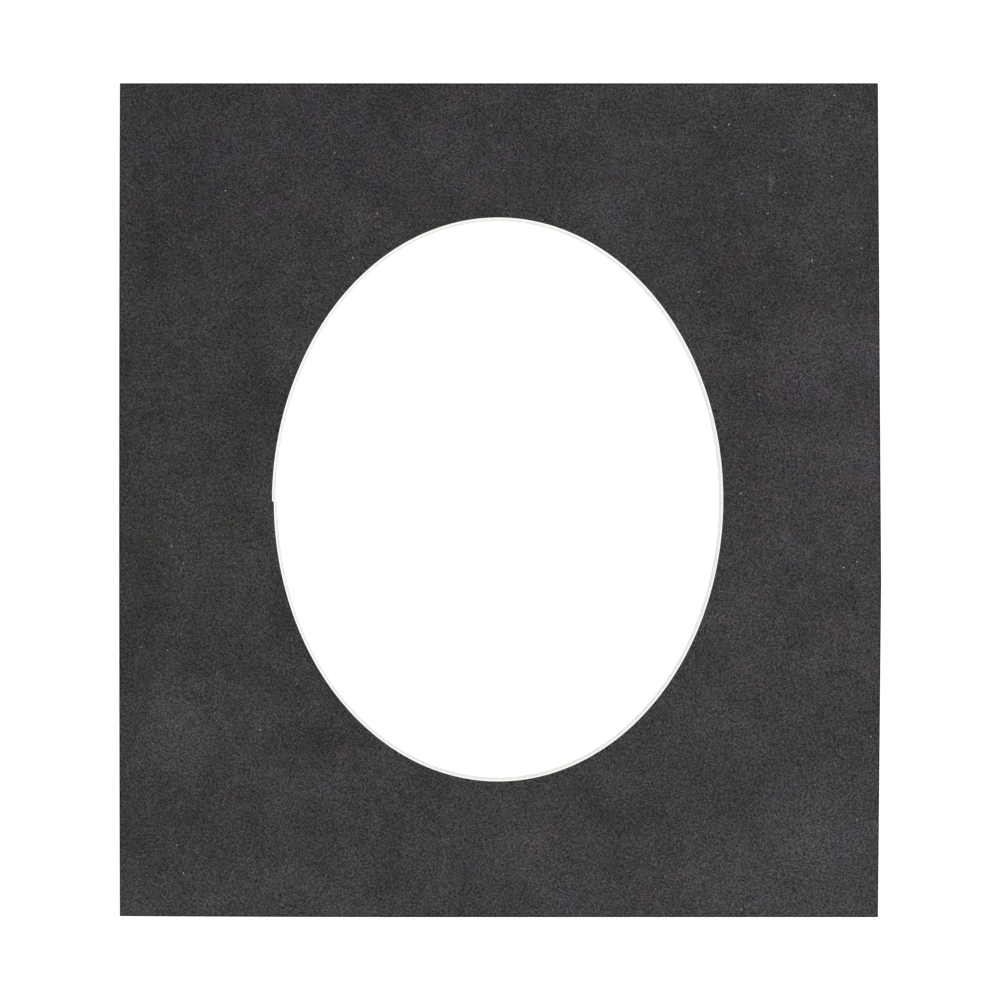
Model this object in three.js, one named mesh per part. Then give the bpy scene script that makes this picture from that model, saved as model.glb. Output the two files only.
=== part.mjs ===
// Oval picture mount: a rectangle of suede mat board with an oval window cut at a bevel.
//
// The mount lies on its back. X runs to the right and Y to the top of the picture that it frames,
// and Z runs up through the board. Sizes are in millimetres. The origin is on the back face, in the
// middle of the board's bounding box.
//
// The board is two sheets glued face to face: a dark suede facing on a pale core. One pass of a
// tilted blade cuts the window through both, so the window is wider at the face than at the back
// and the core shows round it as a pale slanted rim.

import * as THREE from 'three';

// The board, corner to corner
const boardWidth = 254;
const boardHeight = 279.4;
const coreThickness = 1.3;
const facingThickness = 0.3;

// The window, measured along the line where the suede ends and the pale core begins
const windowWidth = 150.8;
const windowHeight = 188.9;
const windowShiftX = -0.25;
const windowShiftY = 0.25;
const windowSegments = 160;

// The angle between the cut and the face of the board, and how far the blade leaned to one side all
// the way round: the core shows wider at the right of the window than at the left
const bevelAngle = THREE.MathUtils.degToRad(45);
const bevelLean = THREE.MathUtils.degToRad(5.7);

// The hand-turned cut starts and ends at the left, and its two ends miss each other. Below the step
// the cut runs inside the true oval, above the step it runs outside, and both drifts fade away.
const stepDrop = 0.7;
const stepLength = 0.5;
const startDrift = -0.27;
const startDriftTurn = THREE.MathUtils.degToRad(40);
const endDrift = 0.35;
const endDriftTurn = THREE.MathUtils.degToRad(28);

// The board's own edges were trimmed by hand. The left one is a shallow bow, the right one is two
// straight cuts that meet at a blunt peak, and the bottom one lifts towards the left corner.
const leftBow = 0.26;
const rightPeak = 1.09;
const rightPeakDrop = 27;
const cornerLift = 0.35;
const cornerLiftLength = 100;
const bowSegments = 12;

const suedeMaterial = new THREE.MeshStandardMaterial({ color: 0x3e3d3e, roughness: 1, metalness: 0 });
const coreMaterial = new THREE.MeshStandardMaterial({ color: 0xeeeeeb, roughness: 0.9, metalness: 0 });

// The trimmed edge of the board, anticlockwise from the top left corner
function boardOutline() {
  const right = boardWidth / 2;
  const left = -right;
  const top = boardHeight / 2;
  const bottom = -top;
  const outline = new THREE.Shape();
  outline.moveTo(left, top);
  outline.quadraticCurveTo(left - 2 * leftBow, 0, left, bottom + cornerLift);
  outline.quadraticCurveTo(left + cornerLiftLength / 2, bottom, left + cornerLiftLength, bottom);
  outline.lineTo(right, bottom);
  outline.lineTo(right + rightPeak, -rightPeakDrop);
  outline.lineTo(right, top);
  return outline.extractPoints(bowSegments).shape;
}

// How far the cut runs outside the true oval, for a turn counted anticlockwise from the step
function cutDrift(turn) {
  const turnLeft = 2 * Math.PI - turn;
  const nearStart = Math.max(0, 1 - turn / startDriftTurn);
  const nearEnd = Math.max(0, 1 - turnLeft / endDriftTurn);
  return startDrift * nearStart + endDrift * nearEnd;
}

// The rim of the window at a height in the board: the oval where the core meets the suede, and set in
// by the bevel below that. The last point and the first one are the two ends of the step.
function windowOutline(z) {
  const depth = coreThickness - z;
  const inset = depth / Math.tan(bevelAngle);
  const centre = new THREE.Vector2(windowShiftX - depth * Math.tan(bevelLean), windowShiftY);
  const halfWidth = windowWidth / 2;
  const halfHeight = windowHeight / 2;
  const stepMiddle = Math.PI + stepDrop / halfHeight;
  const stepTurn = stepLength / halfHeight;
  const points = [];
  for (let i = 0; i <= windowSegments; i += 1) {
    const turn = stepTurn / 2 + (2 * Math.PI - stepTurn) * (i / windowSegments);
    const cos = Math.cos(stepMiddle + turn);
    const sin = Math.sin(stepMiddle + turn);
    const outward = new THREE.Vector2(halfHeight * cos, halfWidth * sin).normalize();
    const point = new THREE.Vector2(halfWidth * cos, halfHeight * sin);
    point.addScaledVector(outward, cutDrift(turn) - inset);
    points.push(point.add(centre));
  }
  return points;
}

// A flat sheet between two heights, with upright outer edges and the slanted cut round its window
function sheetGeometry(zLow, zHigh) {
  const edge = boardOutline();
  const rimLow = windowOutline(zLow);
  const rimHigh = windowOutline(zHigh);
  const triangles = [];
  const at = (point, z) => new THREE.Vector3(point.x, point.y, z);

  const addFace = (rim, z, facesUp) => {
    const points = [...edge, ...rim].map((point) => at(point, z));
    for (const [a, b, c] of THREE.ShapeUtils.triangulateShape(edge, [rim])) {
      triangles.push(points[a], points[facesUp ? b : c], points[facesUp ? c : b]);
    }
  };
  const addWall = (low, high) => {
    low.forEach((point, i) => {
      const next = (i + 1) % low.length;
      const corners = [at(point, zLow), at(low[next], zLow), at(high[next], zHigh), at(high[i], zHigh)];
      triangles.push(corners[0], corners[1], corners[2], corners[0], corners[2], corners[3]);
    });
  };

  addFace(rimLow.toReversed(), zLow, false);
  addFace(rimHigh.toReversed(), zHigh, true);
  addWall(edge, edge);
  addWall(rimLow.toReversed(), rimHigh.toReversed());

  const geometry = new THREE.BufferGeometry().setFromPoints(triangles);
  geometry.computeVertexNormals();
  return geometry;
}

function sheet(name, zLow, zHigh, material) {
  const mesh = new THREE.Mesh(sheetGeometry(zLow, zHigh), material);
  mesh.name = name;
  return mesh;
}

const picture_mount = new THREE.Group();
picture_mount.add(sheet('core_board', 0, coreThickness, coreMaterial));
picture_mount.add(sheet('facing_sheet', coreThickness, coreThickness + facingThickness, suedeMaterial));

// The trimmed edges bulge unevenly, so the group is moved to centre its box on the origin
const middle = new THREE.Box2().setFromPoints(boardOutline()).getCenter(new THREE.Vector2());
picture_mount.position.set(-middle.x, -middle.y, 0);

export default picture_mount;
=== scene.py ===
# Looks of an oval picture mount: suede mat board with an oval window cut at a bevel.
#
# The mount lies on its back on a pale floor, and the camera looks straight down on it. Lengths are
# in metres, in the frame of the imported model: X to the right, Y to the top, Z up through the board.

import math
import random

import bpy
import numpy as np
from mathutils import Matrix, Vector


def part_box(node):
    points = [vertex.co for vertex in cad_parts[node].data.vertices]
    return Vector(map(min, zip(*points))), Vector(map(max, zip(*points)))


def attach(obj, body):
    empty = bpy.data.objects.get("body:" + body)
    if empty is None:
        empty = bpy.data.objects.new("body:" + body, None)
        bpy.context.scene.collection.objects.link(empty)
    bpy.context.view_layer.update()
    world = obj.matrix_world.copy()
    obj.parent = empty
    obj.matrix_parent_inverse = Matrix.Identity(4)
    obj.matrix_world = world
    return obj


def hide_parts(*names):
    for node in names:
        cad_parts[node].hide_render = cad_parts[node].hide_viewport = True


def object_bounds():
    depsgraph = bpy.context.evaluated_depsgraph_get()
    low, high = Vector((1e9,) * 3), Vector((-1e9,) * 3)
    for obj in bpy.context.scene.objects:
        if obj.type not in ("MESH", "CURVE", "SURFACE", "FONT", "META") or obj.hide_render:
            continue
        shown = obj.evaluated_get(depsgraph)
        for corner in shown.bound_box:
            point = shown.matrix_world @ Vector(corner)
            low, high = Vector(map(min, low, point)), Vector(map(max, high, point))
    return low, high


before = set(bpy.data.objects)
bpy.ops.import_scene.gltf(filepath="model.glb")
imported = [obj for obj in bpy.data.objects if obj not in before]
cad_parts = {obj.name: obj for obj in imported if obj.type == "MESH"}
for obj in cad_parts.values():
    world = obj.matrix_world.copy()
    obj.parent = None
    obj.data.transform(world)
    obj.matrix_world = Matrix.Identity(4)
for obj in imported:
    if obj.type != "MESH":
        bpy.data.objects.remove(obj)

CAD_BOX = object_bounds()
MM = 0.001

# Where the photograph, 1000 pixels square, shows the board's middle, and how tall the board is in it
PHOTO_PIXELS = 1000
PHOTO_MIDDLE = (500.15, 500.2)
PHOTO_HEIGHT = 834.0
CAMERA_HEIGHT = 3.0
SENSOR_WIDTH = 0.036

# A CAD sheet's points past this share of its half width or half height are on its outer edge, the
# others on the window's rim. Points that agree to this many decimals are one point.
EDGE_SHARE = 0.9
POINT_DECIMALS = 7

# How finely the sheets are meshed: rays round the window, closer together at the step, and rings
# across each of their faces
RAYS = 720
STEP_RAYS = 24
STEP_MARGIN = math.radians(0.6)
RIM_SMOOTHING = 5
FACE_RINGS = 44
SUEDE_CUT_RINGS = 4
SUEDE_SIDE_RINGS = 3
BEVEL_RINGS = 9
BOARD_SIDE_RINGS = 6
BACK_RINGS = 12
CORNER_RINGS = 4
RING_EASING = 0.12
SHARP_ANGLE = math.radians(38)

# The side of the square that the bake's map holds, a little more than the board's height, and where
# the narrow faces lie on it as bands, in shares of the outline that each one follows
MAP_SIZE = 0.290
CUT_BAND = (0.93, 0.985)
GLUED_BAND = (0.5, 0.9)
SUEDE_SIDE_BAND = (1.004, 1.02)
BOARD_SIDE_BAND = (1.03, 1.004)

# The suede's edges are a little round where the nap folds over the cut, down to this share of it
NAP_ROUNDING = 0.09 * MM
LIP_SHARE = 0.3
BOARD_ROUNDING = 0.06 * MM

# The soft swell of the suede's face: how high, and the waves that it is made of
NAP_SWELL = 0.02 * MM
SWELL_WAVES = 14
SWELL_WAVE_LENGTH = (3.6 * MM, 15.0 * MM)
SWELL_SEED = 11

# Loose fibres that stand over the cut edges of the suede, with their lean aside and their rise as
# shares of their length
WINDOW_FIBRES = 2600
BORDER_FIBRES = 2400
FIBRE_LENGTH = (0.12 * MM, 0.45 * MM)
FIBRE_WIDTH = 0.022 * MM
FIBRE_LEAN = 0.8
FIBRE_RISE = (-0.1, 0.7)
FIBRE_SIDES = 3
FIBRE_SEED = 23

# How much thinner a fibre or a thread of lint gets towards its tip, and a slanting direction that
# none of them follows, from which their sides are worked out
TAPER = 0.5
SLANT = (0.3, 0.2, 1.0)

# Lint that the photograph shows: place on the face and length, in millimetres
LINT_SPOTS = [
    (80.6, 2.2, 1.1),
    (104.4, 80.2, 0.9),
    (80.9, -137.2, 0.9),
    (119.8, -107.0, 0.9),
    (115.4, -22.6, 1.1),
    (76.5, 125.8, 0.9),
    (89.6, 96.0, 1.0),
    (124.1, -79.2, 0.8),
    (71.9, 124.8, 0.8),
    (66.8, 69.8, 1.1),
    (-49.1, 81.2, 1.0),
    (86.9, 35.3, 1.0),
    (-110.0, -15.6, 0.9),
    (67.8, 89.9, 0.8),
    (-68.2, -61.5, 0.8),
    (-106.0, -124.8, 0.8),
    (112.1, 135.5, 0.9),
    (-55.4, 116.4, 0.9),
    (-2.8, 125.5, 0.8),
    (-41.4, 96.3, 0.8),
    (119.4, -20.6, 0.8),
    (-106.0, -20.9, 0.8),
    (88.6, 64.5, 0.8),
    (111.1, 108.4, 0.7),
    (-92.0, 103.7, 0.7),
    (95.1, 117.3, 0.8),
    (117.2, 128.4, 0.7),
    (95.6, 103.0, 0.6),
    (121.2, 84.5, 0.6),
    (-111.4, -50.4, 0.6),
    (-108.3, -115.5, 0.6),
    (117.9, 80.5, 0.5),
    (81.0, 102.6, 0.5),
    (86.4, 111.6, 0.5),
    (80.3, 89.2, 0.5),
    (-120.2, -49.1, 0.5),
    (-80.4, -77.0, 0.5),
]

# Each of those specks is a few crossing threads, each a share of the speck's length. Single faint
# threads lie all over the face, thinner by a share, and keep off its edges.
LINT_THREADS = 2
LINT_SHARE = 0.55
LINT_SPREAD = 0.05 * MM
LINT_WIDTH = 0.20 * MM
LINT_BEND = 2.2
LINT_RISE = (-0.1, 0.14)
LINT_STRETCHES = 5
LINT_SIDES = 4
LINT_SEED = 31
LINT_MARGIN = 1.0 * MM
FAINT_LINT = 600
FAINT_LINT_LENGTH = (0.15 * MM, 0.5 * MM)
FAINT_LINT_WIDTH = (0.25, 0.5)

# The nap's grain and its small tufts: their sizes in millimetres and how strong they are. The grain
# is turned, so that its pattern doesn't line up with the board.
GRAIN_SIZE = 0.36
GRAIN_ROUGHNESS = 0.6
GRAIN_STRENGTH = 1.5
TUFT_SIZE = 0.62
TUFT_STRENGTH = 1.15
NAP_CONTRAST = 2.0
NAP_TURN = (0.7, 0.5, 0.6)

# How rough the suede is, with what the tufts add to its roughness and to its relief, and how deep
# the relief of each material is
NAP_ROUGHNESS = 0.9
TUFT_ROUGHNESS = 0.2
TUFT_RELIEF = 0.6
NAP_DEPTH = 0.12 * MM
PULP_DEPTH = 0.05 * MM

# Clouds on the suede, which change its tone, make it more violet or green, and make it warmer or
# cooler: size of the blots in millimetres, layers of detail, and strength
TONE_CLOUDS = [(3.5, 2, 0.32), (11, 3, 0.6), (30, 2, 0.5)]
TINT_CLOUDS = [(1.4, 1, 1.2), (5, 2, 2.3), (15, 2, 2.0)]
WARMTH_CLOUDS = [(6, 2, 2.4), (18, 1, 1.5)]

# Painted light: how much lighter the face grows for each millimetre to the right and downwards, a
# fall-off of light across it painted into its tone
PAINTED_LIGHT_SLOPE = (0.00042, -0.00030, 0)

# Patches of the face where the nap was brushed the other way: place and reach on the face in
# millimetres, and how much lighter or darker they look
BRUSHED_PATCHES = [
    (0, -138, 190, 22, 0.07),
    (118, -128, 40, 26, 0.13),
    (101, -114, 13, 12, 0.14),
    (69, -128, 19, 10, 0.12),
    (7, -111, 11, 13, 0.14),
    (-107, -80, 12, 19, 0.30),
    (-95, -131, 22, 10, 0.11),
    (-56, -99, 9, 11, 0.10),
    (-60, -79, 15, 10, -0.12),
    (-34, -105, 9, 7, -0.10),
    (-8, -128, 9, 6, -0.13),
    (60, -88, 22, 12, -0.06),
    (97, -45, 10, 8, -0.10),
    (79, -40, 12, 10, 0.12),
    (-122, -35, 10, 26, -0.14),
    (-85, -25, 12, 14, 0.10),
    (-86, 48, 14, 30, -0.13),
    (-106, 58, 10, 14, 0.11),
    (-115, 93, 26, 22, -0.10),
    (-53, 112, 14, 10, -0.09),
    (-38, 127, 10, 7, -0.09),
    (-22, 126, 7, 13, 0.12),
    (34, 97, 9, 9, 0.11),
    (66, 88, 15, 10, -0.10),
    (84, 72, 13, 16, -0.11),
    (90, 128, 10, 10, -0.13),
    (97, 103, 6, 12, -0.08),
    (112, 50, 26, 9, 0.19),
    (90, 31, 22, 7, -0.10),
    (119, 10, 12, 20, 0.14),
    (112, 25, 30, 45, 0.04),
    (110, -50, 28, 30, 0.05),
]

# Broad stretches that look a little violet or, below nought, a little green
TINTED_PATCHES = [
    (-50, 118, 110, 40, 0.45),
    (-95, -15, 45, 55, -0.55),
    (105, 25, 35, 55, 0.4),
    (40, -75, 60, 30, -0.25),
]

# A narrow scrape at the upper right, as two patches with plain outlines
SCRAPES = [
    (90.7, 106.9, 1.0, 3.0, 0.85),
    (90.9, 101.0, 1.0, 5.0, 0.25),
]

# A patch is even up to the first share of its reach and gone at the second. The outlines of brushed
# and tinted ones wander by as many millimetres as the wandering is wide.
PATCH_FADE = (0.2, 1.5)
PATCH_WANDER = 9

# Painted shade along the trimmed border, where the lip of the nap lies in shade: from and to where, in
# millimetres, and how dark
PAINTED_SHADE_STRIP = (0.3, 0.6)
PAINTED_SHADE_TONE = 0.42

# Patterns of the pulp: cycles of its plies for each millimetre across and up through the board,
# sizes of its grain and its mottling in millimetres, and how strong each is
PLY_CYCLES = (0.12, 0.12, 7.0)
PLY_STRENGTH = 0.20
PULP_GRAIN_SIZE = 0.45
PULP_GRAIN_STRENGTH = 0.50
MOTTLE_SIZE = 2.6
MOTTLE_STRENGTH = 0.12

# The bevel is lighter near the suede and a trace darker at its foot: heights in millimetres
# between which that comes in, and how strong it is
UPPER_BEVEL = (0.8, 1.05)
UPPER_LIGHT = 0.26
LOWER_BEVEL = (0.45, 0.3)
LOWER_LIGHT = -0.01

# The back is the part of the pulp board whose surface faces down, seen in its normal's height
BACK_NORMAL = (-0.8, -0.95)

# Loose fibres and lint vary in tone from place to place: blots in millimetres, and how much
THREAD_CLOUD = 2.0
FIBRE_VARIETY = 0.6
LINT_VARIETY = 0.8

# Colours, as linear light. A cast multiplies the colour under it.
SUEDE_GREEN = (0.0374, 0.0370, 0.0365)
SUEDE_VIOLET = (0.0386, 0.0353, 0.0391)
WARM_CAST = (1.024, 1.0, 0.974)
COOL_CAST = (0.976, 1.0, 1.026)
FIBRE_COLOUR = (0.075, 0.072, 0.076)
LINT_COLOUR = (0.60, 0.59, 0.575)
PULP_CUT = (0.735, 0.735, 0.706)
PULP_BACK = (0.78, 0.78, 0.755)
FLOOR_COLOUR = (0.9, 0.9, 0.9)
WHITE = (1, 1, 1)

# Stage and light
FLOOR_REACH = 8.0
FLOOR_SIDES = 64
FLOOR_DROP = 0.02 * MM
FLOOR_GLOW = 0.25
SURROUND_STRENGTH = 1.0
LAMP_SIZE = 1.2
LAMP_POWER = 4.4
LAMP_PLACE = (0.7, -0.5, 1.4)


# Shapes

def cad_points(node, z, on_edge):
    """The points of a CAD sheet's outer edge, or of its window rim, at one height."""
    low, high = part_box(node)
    middle = (low + high) / 2
    half = (high - low) / 2
    found = set()
    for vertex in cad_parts[node].data.vertices:
        x, y, height = vertex.co
        share = max(abs(x - middle.x) / half.x, abs(y - middle.y) / half.y)
        if abs(height - z) < half.z / 2 and (share > EDGE_SHARE) == on_edge:
            found.add((round(x, POINT_DECIMALS), round(y, POINT_DECIMALS)))
    return np.array(sorted(found))


def turn_of(away):
    """The turn at which each point lies, from its places away from a centre."""
    return np.arctan2(away[:, 1], away[:, 0])


def by_turn(points, centre):
    """The points in anticlockwise order about a centre."""
    return points[np.argsort(turn_of(points - centre))]


def from_step(rim):
    """The window rim, rotated to begin just past the step where the cut's two ends miss each other."""
    gaps = np.linalg.norm(np.roll(rim, -1, axis=0) - rim, axis=1)
    return np.roll(rim, -(int(np.argmin(gaps)) + 1), axis=0)


def smoothed(rim):
    """More points along the cut, on a curve through the given ones. The step stays sharp."""
    chain = np.vstack([2 * rim[0] - rim[1], rim, 2 * rim[-1] - rim[-2]])
    points = []
    for before, start, end, after in zip(chain, chain[1:], chain[2:], chain[3:]):
        for t in np.arange(RIM_SMOOTHING) / RIM_SMOOTHING:
            points.append(0.5 * (
                2 * start
                + (end - before) * t
                + (2 * before - 5 * start + 4 * end - after) * t ** 2
                + (3 * start - before - 3 * end + after) * t ** 3
            ))
    points.append(rim[-1])
    return np.array(points)


def reach_along(outline, centre, turns):
    """How far a closed outline lies from a centre along each turn."""
    away = by_turn(outline, centre) - centre
    index = np.searchsorted(turn_of(away), turns)
    a = away[(index - 1) % len(away)]
    b = away[index % len(away)]
    side = b - a
    direction = np.column_stack([np.cos(turns), np.sin(turns)])
    across = a[:, 0] * side[:, 1] - a[:, 1] * side[:, 0]
    return across / (direction[:, 0] * side[:, 1] - direction[:, 1] * side[:, 0])


def window_turns(rim, edge, centre):
    """The turns at which the sheets are cut into faces: even ones, the board's corners and the step."""
    even = np.linspace(-math.pi, math.pi, RAYS, endpoint=False)
    last, first = np.unwrap(turn_of(rim[[-1, 0]] - centre))
    start = min(first, last) - STEP_MARGIN
    end = max(first, last) + STEP_MARGIN
    step = (np.linspace(start, end, STEP_RAYS) + math.pi) % (2 * math.pi) - math.pi
    special = np.concatenate([turn_of(edge - centre), step])
    too_close = math.pi / RAYS / 4
    clear = np.abs(even[:, None] - special[None, :]).min(axis=1) > too_close
    return np.sort(np.concatenate([even[clear], special]))


def swell(points):
    """How much the nap swells at each point, as a sum of long waves."""
    chance = random.Random(SWELL_SEED)
    lift = np.zeros(len(points))
    for _ in range(SWELL_WAVES):
        heading = chance.uniform(0, 2 * math.pi)
        pace = 2 * math.pi / chance.uniform(*SWELL_WAVE_LENGTH)
        phase = chance.uniform(0, 2 * math.pi)
        along = points[:, 0] * math.cos(heading) + points[:, 1] * math.sin(heading)
        lift += np.sin(pace * along + phase) / SWELL_WAVES
    return NAP_SWELL * lift


def rounded(start, corner, end):
    """Rings that turn a corner on a curve."""
    return [
        (1 - t) ** 2 * start + 2 * t * (1 - t) * corner + t ** 2 * end
        for t in np.linspace(0, 1, CORNER_RINGS)
    ]


def eased(count):
    """Shares from 0 to 1 that lie closer together at both ends."""
    even = np.linspace(0, 1, count)
    return even - RING_EASING * np.sin(2 * math.pi * even)


def between(start, end, shares):
    """Rings at the given shares of the way from one ring to another."""
    return [start + (end - start) * share for share in shares]


def flat_map(rings):
    """Where rings lie on the bake's map when they keep their places on the board."""
    return [0.5 + ring[:, :2] / MAP_SIZE for ring in rings]


def band_map(ring, band, count):
    """Where a narrow face lies on the bake's map: one ring's outline, at shares of its own size."""
    middle = ring[:, :2].mean(axis=0)
    outline = ring[:, :2] - middle
    return [0.5 + (middle + outline * share) / MAP_SIZE for share in np.linspace(*band, count)]


def finished_piece(name, mesh, material, node=None):
    """A piece of the mount that rides on its one body, with its material."""
    mesh.materials.append(material)
    piece = bpy.data.objects.new(name, mesh)
    bpy.context.scene.collection.objects.link(piece)
    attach(piece, "root")
    if node:
        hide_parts(node)
    return piece


def swept_sheet(name, groups, material, node):
    """A closed sheet made of groups of rings. Each group begins with the last ring of the one before."""
    rings = []
    strips = []
    for group, places in groups:
        rings.extend(group[:-1])
        strips.extend(zip(places, places[1:]))
    count = len(rings[0])
    faces = []
    spots = []
    for j, (near, far) in enumerate(strips):
        here = j * count
        beyond = (j + 1) % len(rings) * count
        for i in range(count):
            k = (i + 1) % count
            faces.append((here + i, beyond + i, beyond + k, here + k))
            spots.extend((near[i], far[i], far[k], near[k]))
    mesh = bpy.data.meshes.new(name)
    mesh.from_pydata(np.vstack(rings).tolist(), [], faces)
    mesh.uv_layers.new(name="OFBake").data.foreach_set("uv", np.array(spots).ravel())
    mesh.shade_smooth()
    mesh.set_sharp_from_angle(angle=SHARP_ANGLE)
    return finished_piece(name, mesh, material, node)


class Outlines:
    """One CAD sheet's window rims and outer edge, as reaches along turns that both sheets share."""

    def __init__(self, node, centre, turns):
        low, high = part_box(node)
        self.low = low.z
        self.high = high.z
        self.centre = centre
        self.turns = turns
        self.edge = reach_along(cad_points(node, high.z, True), centre, turns)
        self.low_rim = self.rim(node, low.z)
        self.high_rim = self.rim(node, high.z)

    def rim(self, node, z):
        """How far the window rim lies from the centre, at one height."""
        points = by_turn(cad_points(node, z, False), self.centre)
        return reach_along(smoothed(from_step(points)), self.centre, self.turns)

    def ring(self, reach, z):
        """One ring of points round the window, at a reach for each turn and at one height."""
        x = self.centre[0] + reach * np.cos(self.turns)
        y = self.centre[1] + reach * np.sin(self.turns)
        return np.column_stack([x, y, np.full(len(x), z)])


def suede_sheet(outlines, material):
    """The facing: cut face at the window, rounded lip, swelling nap, rounded border and trimmed side."""
    cut_foot = outlines.ring(outlines.low_rim, outlines.low)
    window_lip = outlines.ring(outlines.high_rim, outlines.high)
    border_lip = outlines.ring(outlines.edge, outlines.high)
    side_foot = outlines.ring(outlines.edge, outlines.low)
    lip_start = window_lip + (cut_foot - window_lip) * LIP_SHARE
    lip_end = outlines.ring(outlines.high_rim + NAP_ROUNDING, outlines.high)
    border_start = outlines.ring(outlines.edge - NAP_ROUNDING, outlines.high)
    border_end = outlines.ring(outlines.edge, outlines.high - NAP_ROUNDING)

    cut = between(cut_foot, lip_start, np.linspace(0, 1, SUEDE_CUT_RINGS))
    face = rounded(lip_start, window_lip, lip_end)
    face += between(lip_end, border_start, eased(FACE_RINGS))[1:-1]
    face += rounded(border_start, border_lip, border_end)
    for ring in face[1:-1]:
        ring[:, 2] += swell(ring)
    side = between(border_end, side_foot, np.linspace(0, 1, SUEDE_SIDE_RINGS))
    glued = [side_foot, cut_foot]
    groups = [
        (cut, band_map(cut_foot, CUT_BAND, len(cut))),
        (face, flat_map(face)),
        (side, band_map(side_foot, SUEDE_SIDE_BAND, len(side))),
        (glued, band_map(cut_foot, GLUED_BAND, len(glued))),
    ]
    return swept_sheet("suede_sheet", groups, material, "facing_sheet")


def pulp_board(outlines, material):
    """The core: bevel at the window, hidden upper face, trimmed side and the back."""
    bevel_foot = outlines.ring(outlines.low_rim, outlines.low)
    bevel_top = outlines.ring(outlines.high_rim, outlines.high)
    side_top = outlines.ring(outlines.edge, outlines.high)
    side_foot = outlines.ring(outlines.edge, outlines.low)
    side_end = outlines.ring(outlines.edge, outlines.low + BOARD_ROUNDING)
    back_start = outlines.ring(outlines.edge - BOARD_ROUNDING, outlines.low)

    bevel = between(bevel_foot, bevel_top, np.linspace(0, 1, BEVEL_RINGS))
    glued = [bevel_top, side_top]
    side = between(side_top, side_end, np.linspace(0, 1, BOARD_SIDE_RINGS))
    back = rounded(side_end, side_foot, back_start)
    back += between(back_start, bevel_foot, eased(BACK_RINGS))[1:]
    groups = [
        (bevel, band_map(bevel_foot, CUT_BAND, len(bevel))),
        (glued, band_map(bevel_foot, GLUED_BAND[::-1], len(glued))),
        (side, band_map(side_foot, BOARD_SIDE_BAND, len(side))),
        (back, flat_map(back)),
    ]
    return swept_sheet("pulp_board", groups, material, "core_board")


def keep_distance(piece, outlines):
    """Keeps on each point of the suede how far it lies from the trimmed border, in millimetres."""
    points = np.array([vertex.co for vertex in piece.data.vertices])
    reach = np.linalg.norm(points[:, :2] - outlines.centre, axis=1)
    border = np.resize(outlines.edge, len(points))
    distance = (border - reach).clip(0) / MM
    piece.data.attributes.new("from_border", "FLOAT", "POINT").data.foreach_set("value", distance)


def add_fibre(points, width, sides, vertices, faces):
    """Adds a closed tapering fibre along a few points. It ends in a point."""
    first = len(vertices)
    heading = points[-1] - points[0]
    side = np.cross(heading, SLANT)
    side /= np.linalg.norm(side)
    over = np.cross(heading, side)
    over /= np.linalg.norm(over)
    stretches = len(points) - 1
    for n, point in enumerate(points[:-1]):
        radius = width / 2 * (1 - TAPER * n / stretches)
        for k in range(sides):
            angle = 2 * math.pi * k / sides
            vertices.append(point + radius * (math.cos(angle) * side + math.sin(angle) * over))
    vertices.append(points[-1])
    tip = len(vertices) - 1
    faces.append(tuple(range(first, first + sides)))
    for low in range(first, tip - sides, sides):
        for k in range(sides):
            following = (k + 1) % sides
            faces.append((low + k, low + sides + k, low + sides + following, low + following))
    last = tip - sides
    for k in range(sides):
        faces.append((last + k, tip, last + (k + 1) % sides))


def fibre_piece(name, fibres, sides, material):
    """One piece made of many closed fibres, each given as its points and its width."""
    vertices = []
    faces = []
    for points, width in fibres:
        add_fibre(points, width, sides, vertices, faces)
    mesh = bpy.data.meshes.new(name)
    mesh.from_pydata([tuple(vertex) for vertex in vertices], [], faces)
    mesh.shade_smooth()
    return finished_piece(name, mesh, material)


def edge_fibres(outlines, material):
    """Nap fibres that stand out over the window's cut and the trimmed border."""
    chance = random.Random(FIBRE_SEED)
    fibres = []
    for count, reach, inward in (
        (WINDOW_FIBRES, outlines.high_rim + NAP_ROUNDING / 2, -1),
        (BORDER_FIBRES, outlines.edge - NAP_ROUNDING / 2, 1),
    ):
        lip = outlines.ring(reach, outlines.high - NAP_ROUNDING / 3)
        following = np.roll(lip, -1, axis=0)
        lengths = np.linalg.norm(following - lip, axis=1)
        for _ in range(count):
            i = chance.choices(range(len(lip)), lengths)[0]
            along = following[i] - lip[i]
            root = lip[i] + along * chance.random()
            along /= np.linalg.norm(along)
            out = np.array([along[1], -along[0], 0]) * inward
            heading = out + along * chance.gauss(0, FIBRE_LEAN)
            heading /= np.linalg.norm(heading)
            length = chance.uniform(*FIBRE_LENGTH)
            rise = np.array([0, 0, chance.uniform(*FIBRE_RISE)])
            middle = root + (heading + rise) * length / 2
            tip = root + (heading + rise / 2) * length
            fibres.append(([root, middle, tip], FIBRE_WIDTH))
    return fibre_piece("edge_fibres", fibres, FIBRE_SIDES, material)


def bent_thread(chance, x, y, z, length):
    """The points of a short bent thread that lies on the face."""
    heading = chance.uniform(0, 2 * math.pi)
    bend = chance.uniform(-LINT_BEND, LINT_BEND)
    points = [np.array([x, y, z])]
    for _ in range(LINT_STRETCHES):
        heading += bend / LINT_STRETCHES
        step = np.array([math.cos(heading), math.sin(heading), chance.uniform(*LINT_RISE)])
        points.append(points[-1] + step * length / LINT_STRETCHES)
    return points


def on_suede(x, y, outlines):
    """Whether a place lies on the suede, away from its window and its border."""
    aside, above = np.array([x, y]) - outlines.centre
    turn = math.atan2(above, aside)
    near = np.interp(turn, outlines.turns, outlines.high_rim)
    far = np.interp(turn, outlines.turns, outlines.edge)
    return near + LINT_MARGIN < math.hypot(aside, above) < far - LINT_MARGIN


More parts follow.
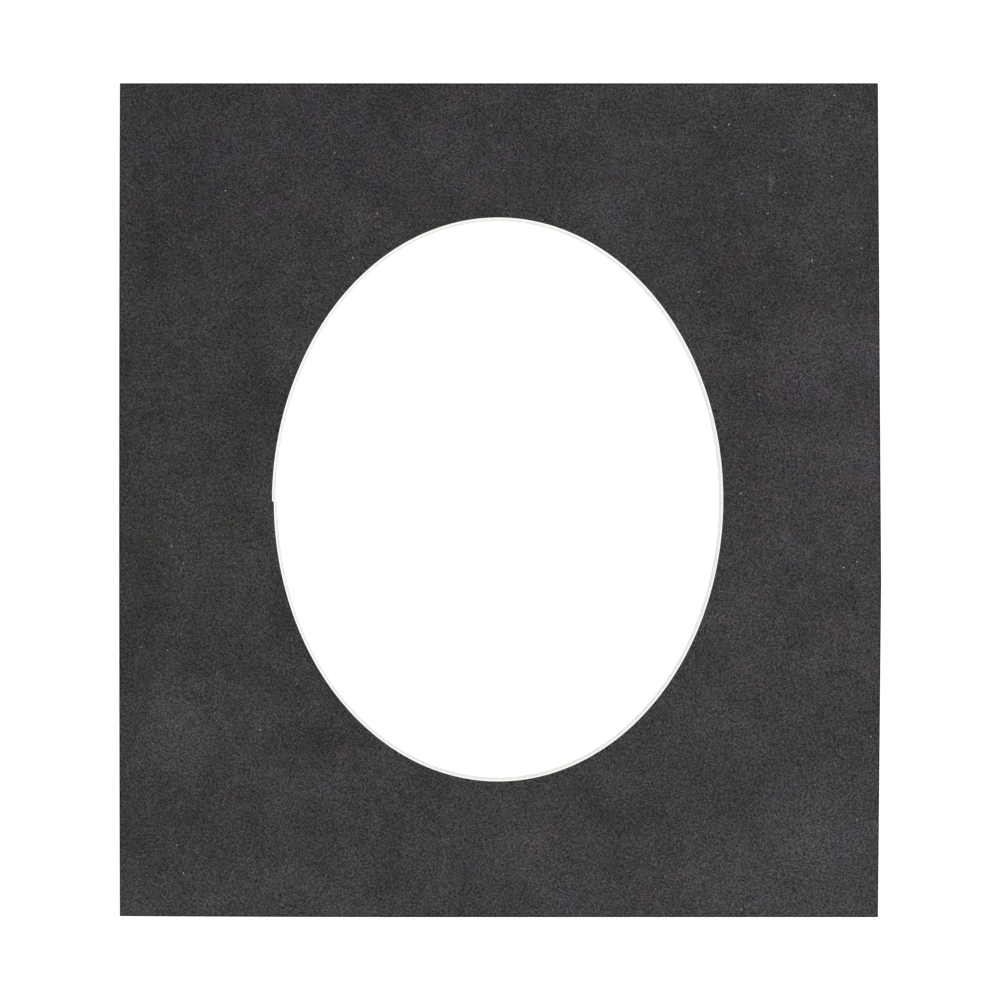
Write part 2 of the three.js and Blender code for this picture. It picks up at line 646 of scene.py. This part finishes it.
def lint(outlines, material):
    """Pale specks of lint on the nap: the ones that the photograph shows, and many faint ones."""
    chance = random.Random(LINT_SEED)
    low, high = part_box("facing_sheet")
    height = outlines.high + LINT_WIDTH / 2
    threads = []
    for x, y, length in LINT_SPOTS:
        for _ in range(LINT_THREADS):
            thread_x = x * MM + chance.gauss(0, LINT_SPREAD)
            thread_y = y * MM + chance.gauss(0, LINT_SPREAD)
            points = bent_thread(chance, thread_x, thread_y, height, length * LINT_SHARE * MM)
            threads.append((points, LINT_WIDTH))
    while len(threads) < len(LINT_SPOTS) * LINT_THREADS + FAINT_LINT:
        x = chance.uniform(low.x, high.x)
        y = chance.uniform(low.y, high.y)
        if on_suede(x, y, outlines):
            points = bent_thread(chance, x, y, height, chance.uniform(*FAINT_LINT_LENGTH))
            threads.append((points, LINT_WIDTH * chance.uniform(*FAINT_LINT_WIDTH)))
    return fibre_piece("lint", threads, LINT_SIDES, material)


# Materials

def add(tree, kind, inputs=(), **settings):
    """Adds a node. Each input is a value, or the output of another node."""
    node = tree.nodes.new("ShaderNode" + kind)
    for name, value in settings.items():
        setattr(node, name, value)
    for key, value in dict(inputs).items():
        if isinstance(value, bpy.types.NodeSocket):
            tree.links.new(value, node.inputs[key])
        else:
            node.inputs[key].default_value = value
    return node


def reckon(tree, operation, *values):
    """The result of a sum on two or three numbers."""
    return add(tree, "Math", enumerate(values), operation=operation).outputs[0]


def combine(tree, operation, *vectors):
    """The result of a sum on one or two vectors."""
    return add(tree, "VectorMath", enumerate(vectors), operation=operation).outputs["Vector"]


def scaled(tree, vector, factor):
    """A vector or a colour, times a number."""
    return add(tree, "VectorMath", {0: vector, "Scale": factor}, operation="SCALE").outputs["Vector"]


def ramp(tree, value, span, first=0.0, last=1.0, kind="LINEAR"):
    """Runs from a first to a last result while a value crosses a span, and stays level beyond it."""
    return add(tree, "MapRange", {
        "Value": value,
        "From Min": span[0],
        "From Max": span[1],
        "To Min": first,
        "To Max": last,
    }, interpolation_type=kind).outputs["Result"]


def blend(tree, first, second, share):
    """A colour between two, or past either where the share is below nought or above one."""
    ends = {0: share, 6: (*first, 1), 7: (*second, 1)}
    return add(tree, "Mix", ends, data_type="RGBA", clamp_factor=False).outputs[2]


def in_millimetres(tree):
    """The place on the board, in millimetres."""
    return scaled(tree, add(tree, "TexCoord").outputs["Object"], 1 / MM)


def cloud(tree, place, size, detail, roughness=0.5):
    """Noise about zero, whose blots are about as wide as the given size."""
    noise = add(tree, "TexNoise", {
        "Vector": place,
        "Scale": 1 / size,
        "Detail": detail,
        "Roughness": roughness,
    })
    return reckon(tree, "SUBTRACT", noise.outputs["Fac"], 0.5)


def clouds(tree, place, rows):
    """Layers of noise, given as rows of size, detail and strength."""
    return [(cloud(tree, place, size, detail), strength) for size, detail, strength in rows]


def patches(tree, place, rows):
    """Layers of soft-edged blots, given as rows of place, reach and strength."""
    layers = []
    for x, y, width, height, strength in rows:
        moved = combine(tree, "SUBTRACT", place, (x, y, 0))
        shares = combine(tree, "MULTIPLY", moved, (1 / width, 1 / height, 0))
        away = add(tree, "VectorMath", {0: shares}, operation="LENGTH").outputs["Value"]
        layers.append((ramp(tree, away, PATCH_FADE, 1.0, 0.0, "SMOOTHSTEP"), strength))
    return layers


def layered(tree, layers, base=1.0):
    """A base plus the sum of several patterns, each with its own strength."""
    total = base
    for pattern, strength in layers:
        total = reckon(tree, "MULTIPLY_ADD", pattern, strength, total)
    return total


def new_material(name, constants):
    """A material with a Principled shader whose even values are set on its own sockets."""
    material = bpy.data.materials.new(name)
    material.use_nodes = True
    tree = material.node_tree
    shader = tree.nodes["Principled BSDF"]
    for key, value in constants.items():
        shader.inputs[key].default_value = value
    return material, tree, shader


def add_relief(tree, shader, height, strength, depth):
    """Gives a shader's surface a fine relief."""
    bump = add(tree, "Bump", {"Height": height, "Strength": strength, "Distance": depth})
    tree.links.new(bump.outputs["Normal"], shader.inputs["Normal"])


def suede():
    """Charcoal flock: grain and tufts, cloudy tone, brushed patches, painted light that grows towards
    the lower right, and painted shade along the trimmed border.
    """
    material, tree, shader = new_material("charcoal_suede", {
        "Sheen Weight": 0.14,
        "Sheen Roughness": 0.45,
        "Specular IOR Level": 0.08,
    })
    place = in_millimetres(tree)
    wander = cloud(tree, place, PATCH_WANDER, 3)
    shift = combine(tree, "MULTIPLY", wander, (PATCH_WANDER, PATCH_WANDER, 0))
    wandering = combine(tree, "ADD", place, shift)
    turning = {"Vector": place, "Rotation": NAP_TURN}
    turned = add(tree, "VectorRotate", turning, rotation_type="EULER_XYZ").outputs["Vector"]
    grain = cloud(tree, turned, GRAIN_SIZE, 2, GRAIN_ROUGHNESS)
    tufts = cloud(tree, turned, TUFT_SIZE, 0)
    nap = layered(tree, [(grain, GRAIN_STRENGTH), (tufts, TUFT_STRENGTH)])
    fine = reckon(tree, "POWER", nap, NAP_CONTRAST)

    # Painted light: the face grows lighter towards the lower right, as if light fell off across it
    light_slope = {0: place, 1: PAINTED_LIGHT_SLOPE}
    broad = layered(tree, [
        *clouds(tree, place, TONE_CLOUDS),
        (add(tree, "VectorMath", light_slope, operation="DOT_PRODUCT").outputs["Value"], 1.0),
        *patches(tree, wandering, BRUSHED_PATCHES),
        *patches(tree, place, SCRAPES),
    ])
    border = add(tree, "Attribute", attribute_name="from_border").outputs["Fac"]
    # Painted shade: a dark strip along the trimmed border, where the lip lies in shade
    border_shade = ramp(tree, border, PAINTED_SHADE_STRIP, PAINTED_SHADE_TONE, 1.0)
    tone = reckon(tree, "MULTIPLY", reckon(tree, "MULTIPLY", broad, fine), border_shade)

    tint = layered(tree, [
        *clouds(tree, place, TINT_CLOUDS),
        *patches(tree, wandering, TINTED_PATCHES),
    ], 0.5)
    warmth = layered(tree, clouds(tree, wandering, WARMTH_CLOUDS), 0.5)
    flock = blend(tree, SUEDE_GREEN, SUEDE_VIOLET, tint)
    cast = blend(tree, WARM_CAST, COOL_CAST, warmth)
    colour = scaled(tree, combine(tree, "MULTIPLY", flock, cast), tone)
    tree.links.new(colour, shader.inputs["Base Color"])
    roughness = reckon(tree, "MULTIPLY_ADD", tufts, TUFT_ROUGHNESS, NAP_ROUGHNESS)
    tree.links.new(roughness, shader.inputs["Roughness"])
    relief = reckon(tree, "MULTIPLY_ADD", tufts, TUFT_RELIEF, grain)
    add_relief(tree, shader, relief, strength=0.5, depth=NAP_DEPTH)
    return material


def pulp():
    """Off-white pulp board: mottled and faintly layered where it is cut, smooth paper on its back."""
    material, tree, shader = new_material("pulp_board", {"Roughness": 0.9, "Specular IOR Level": 0.2})
    place = in_millimetres(tree)
    height = add(tree, "SeparateXYZ", {0: place}).outputs["Z"]
    normal = add(tree, "NewGeometry").outputs["Normal"]
    upright = add(tree, "SeparateXYZ", {0: normal}).outputs["Z"]
    back = ramp(tree, upright, BACK_NORMAL)
    cut = reckon(tree, "SUBTRACT", 1.0, back)
    plies = cloud(tree, combine(tree, "MULTIPLY", place, PLY_CYCLES), 1.0, 3, 0.7)
    cut_plies = reckon(tree, "MULTIPLY", plies, cut)
    grain = cloud(tree, place, PULP_GRAIN_SIZE, 3, 0.6)
    foot = reckon(tree, "MULTIPLY", ramp(tree, height, LOWER_BEVEL), cut)
    tone = layered(tree, [
        (cut_plies, PLY_STRENGTH),
        (grain, PULP_GRAIN_STRENGTH),
        (cloud(tree, place, MOTTLE_SIZE, 3), MOTTLE_STRENGTH),
        (ramp(tree, height, UPPER_BEVEL), UPPER_LIGHT),
        (foot, LOWER_LIGHT),
    ])
    colour = scaled(tree, blend(tree, PULP_CUT, PULP_BACK, back), tone)
    tree.links.new(colour, shader.inputs["Base Color"])
    relief = reckon(tree, "MULTIPLY_ADD", cut_plies, 2.0, grain)
    add_relief(tree, shader, relief, strength=0.35, depth=PULP_DEPTH)
    return material


def thread(name, colour, variety):
    """A soft thread whose colour varies a little from place to place."""
    material, tree, shader = new_material(name, {"Roughness": 0.95, "Specular IOR Level": 0.1})
    tone = layered(tree, [(cloud(tree, in_millimetres(tree), THREAD_CLOUD, 1), variety)])
    tree.links.new(scaled(tree, colour, tone), shader.inputs["Base Color"])
    return material


# Stage

def floor():
    """A plain pale floor, so bright that it comes out white as the photograph's ground does."""
    mesh = bpy.data.meshes.new("floor")
    turns = [2 * math.pi * i / FLOOR_SIDES for i in range(FLOOR_SIDES)]
    rim = [(FLOOR_REACH * math.cos(turn), FLOOR_REACH * math.sin(turn), 0) for turn in turns]
    mesh.from_pydata(rim, [], [tuple(range(FLOOR_SIDES))])
    material, _, _ = new_material("pale_floor", {
        "Base Color": (*FLOOR_COLOUR, 1),
        "Roughness": 1.0,
        "Specular IOR Level": 0.0,
        "Emission Color": (*WHITE, 1),
        "Emission Strength": FLOOR_GLOW,
    })
    mesh.materials.append(material)
    ground = bpy.data.objects.new("floor", mesh)
    ground.location.z = -FLOOR_DROP
    bpy.context.scene.collection.objects.link(ground)


def lights():
    """An even white surround, and a soft lamp to the right and below."""
    world = bpy.data.worlds.new("surround")
    world.use_nodes = True
    background = world.node_tree.nodes["Background"]
    background.inputs["Color"].default_value = (*WHITE, 1)
    background.inputs["Strength"].default_value = SURROUND_STRENGTH
    bpy.context.scene.world = world
    lamp = bpy.data.lights.new("soft_lamp", "AREA")
    lamp.size = LAMP_SIZE
    lamp.energy = LAMP_POWER
    holder = bpy.data.objects.new("soft_lamp", lamp)
    holder.location = LAMP_PLACE
    aim = -holder.location
    holder.rotation_euler = aim.to_track_quat("-Z", "Y").to_euler()
    bpy.context.scene.collection.objects.link(holder)


def camera(face_height, board_height):
    """Looks straight down from far above, with the board as large as in the photograph."""
    pixel = board_height / PHOTO_HEIGHT
    view_width = pixel * PHOTO_PIXELS
    data = bpy.data.cameras.new("camera")
    data.sensor_width = SENSOR_WIDTH / MM
    data.lens = data.sensor_width * (CAMERA_HEIGHT - face_height) / view_width
    holder = bpy.data.objects.new("camera", data)
    aside, below = (pixels - PHOTO_PIXELS / 2 for pixels in PHOTO_MIDDLE)
    holder.location = (-aside * pixel, below * pixel, CAMERA_HEIGHT)
    bpy.context.scene.collection.objects.link(holder)
    bpy.context.scene.camera = holder


# The mount. Both sheets meet where the core ends, so its upper outlines give the turns for both.

core_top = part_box("core_board")[1].z
shared_rim = from_step(by_turn(cad_points("core_board", core_top, False), np.zeros(2)))
shared_edge = cad_points("core_board", core_top, True)
window_centre = (shared_rim.min(axis=0) + shared_rim.max(axis=0)) / 2
shared_turns = window_turns(shared_rim, shared_edge, window_centre)
facing = Outlines("facing_sheet", window_centre, shared_turns)
core = Outlines("core_board", window_centre, shared_turns)

face_piece = suede_sheet(facing, suede())
keep_distance(face_piece, facing)
board_piece = pulp_board(core, pulp())
fibre_fringe = edge_fibres(facing, thread("loose_nap", FIBRE_COLOUR, FIBRE_VARIETY))
lint(facing, thread("pale_lint", LINT_COLOUR, LINT_VARIETY))

floor()
lights()
camera(facing.high, CAD_BOX[1].y - CAD_BOX[0].y)
bpy.context.scene.view_settings.view_transform = "Standard"
